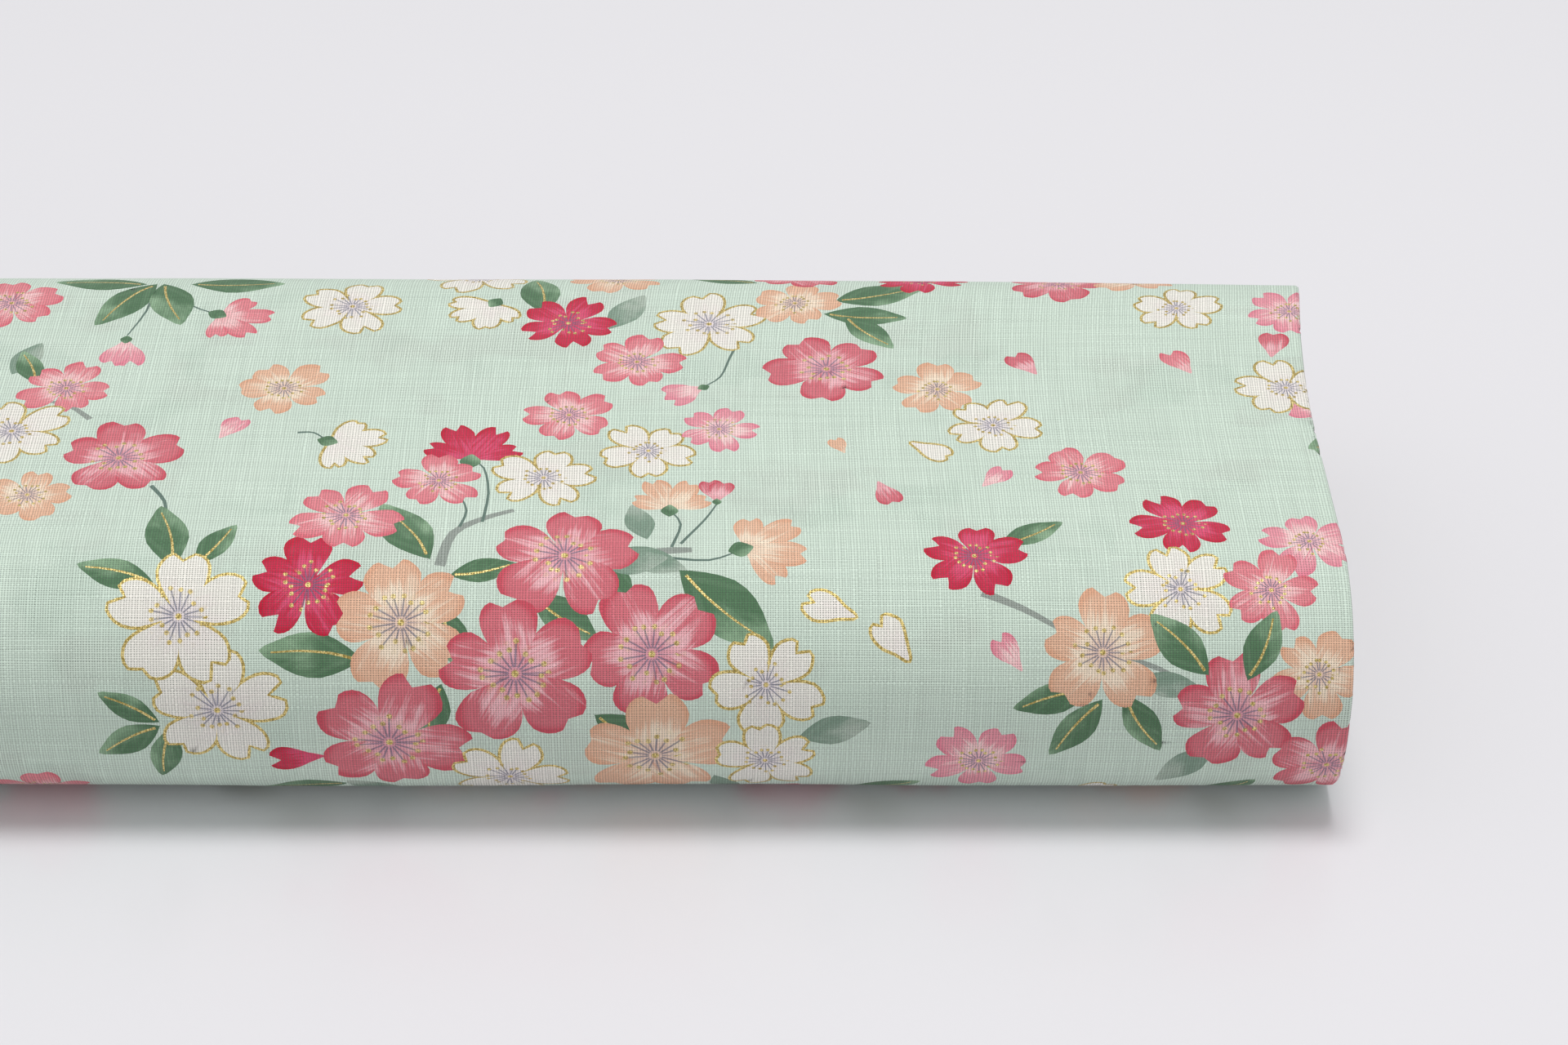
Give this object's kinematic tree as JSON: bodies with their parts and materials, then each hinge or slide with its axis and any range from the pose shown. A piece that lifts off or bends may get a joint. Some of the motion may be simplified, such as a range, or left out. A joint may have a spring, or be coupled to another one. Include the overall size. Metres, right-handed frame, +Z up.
{
  "type": "fabric bolt",
  "caption": "Flat bolt of doubled printed cotton wound on a wrapped corrugated board, with a free end that lifts at the back and a board that pulls out endways.",
  "frame": {"origin": "centre of the underside, on the surface the bolt lies on", "axes": "+X along the bolt to its folded end, +Y to the back, +Z up"},
  "size_m": [0.554, 0.1299, 0.048],
  "materials": {
    "printed_cotton": "open plain-weave cotton, mint ground with printed blossoms",
    "board_paper": "raw brown corrugated paper",
    "wrap_paper": "smooth off-white paper",
    "ticket_paper": "plain white paper"
  },
  "bodies": {
    "cloth": {"cloth_inner_turns": "printed_cotton", "cloth_outer_turn": "printed_cotton"},
    "core": {"core_liner_top": "board_paper", "core_flute_upper": "board_paper", "core_liner_middle": "board_paper", "core_flute_lower": "board_paper", "core_liner_bottom": "board_paper", "core_wrap": "wrap_paper", "core_wrap_lap": "wrap_paper", "end_ticket": "ticket_paper"},
    "free_end_1": {"cloth_free_end_1": "printed_cotton"},
    "free_end_2": {"cloth_free_end_2": "printed_cotton"},
    "free_end_3": {"cloth_free_end_3": "printed_cotton"},
    "free_end_4": {"cloth_free_end_4": "printed_cotton"}
  },
  "joints": [
    {"name": "core_slide", "type": "slide", "parent": "cloth", "child": "core", "axis": [-1, 0, 0], "range_m": [0, 0.56]},
    {"name": "free_end_lift_1", "type": "hinge", "parent": "cloth", "child": "free_end_1", "pos_m": [0, 0.041, 0.048], "axis": [1, 0, 0], "range_deg": [0, 96]},
    {"name": "free_end_lift_2", "type": "hinge", "parent": "free_end_1", "child": "free_end_2", "pos_m": [0, 0.05561, 0.04304], "axis": [1, 0, 0], "range_deg": [0, 37.5]},
    {"name": "free_end_lift_3", "type": "hinge", "parent": "free_end_2", "child": "free_end_3", "pos_m": [0, 0.06418, 0.03021], "axis": [1, 0, 0], "range_deg": [0, 37.5]},
    {"name": "free_end_lift_4", "type": "hinge", "parent": "free_end_3", "child": "free_end_4", "pos_m": [0, 0.06317, 0.01482], "axis": [1, 0, 0], "range_deg": [0, 37.5]}
  ]
}
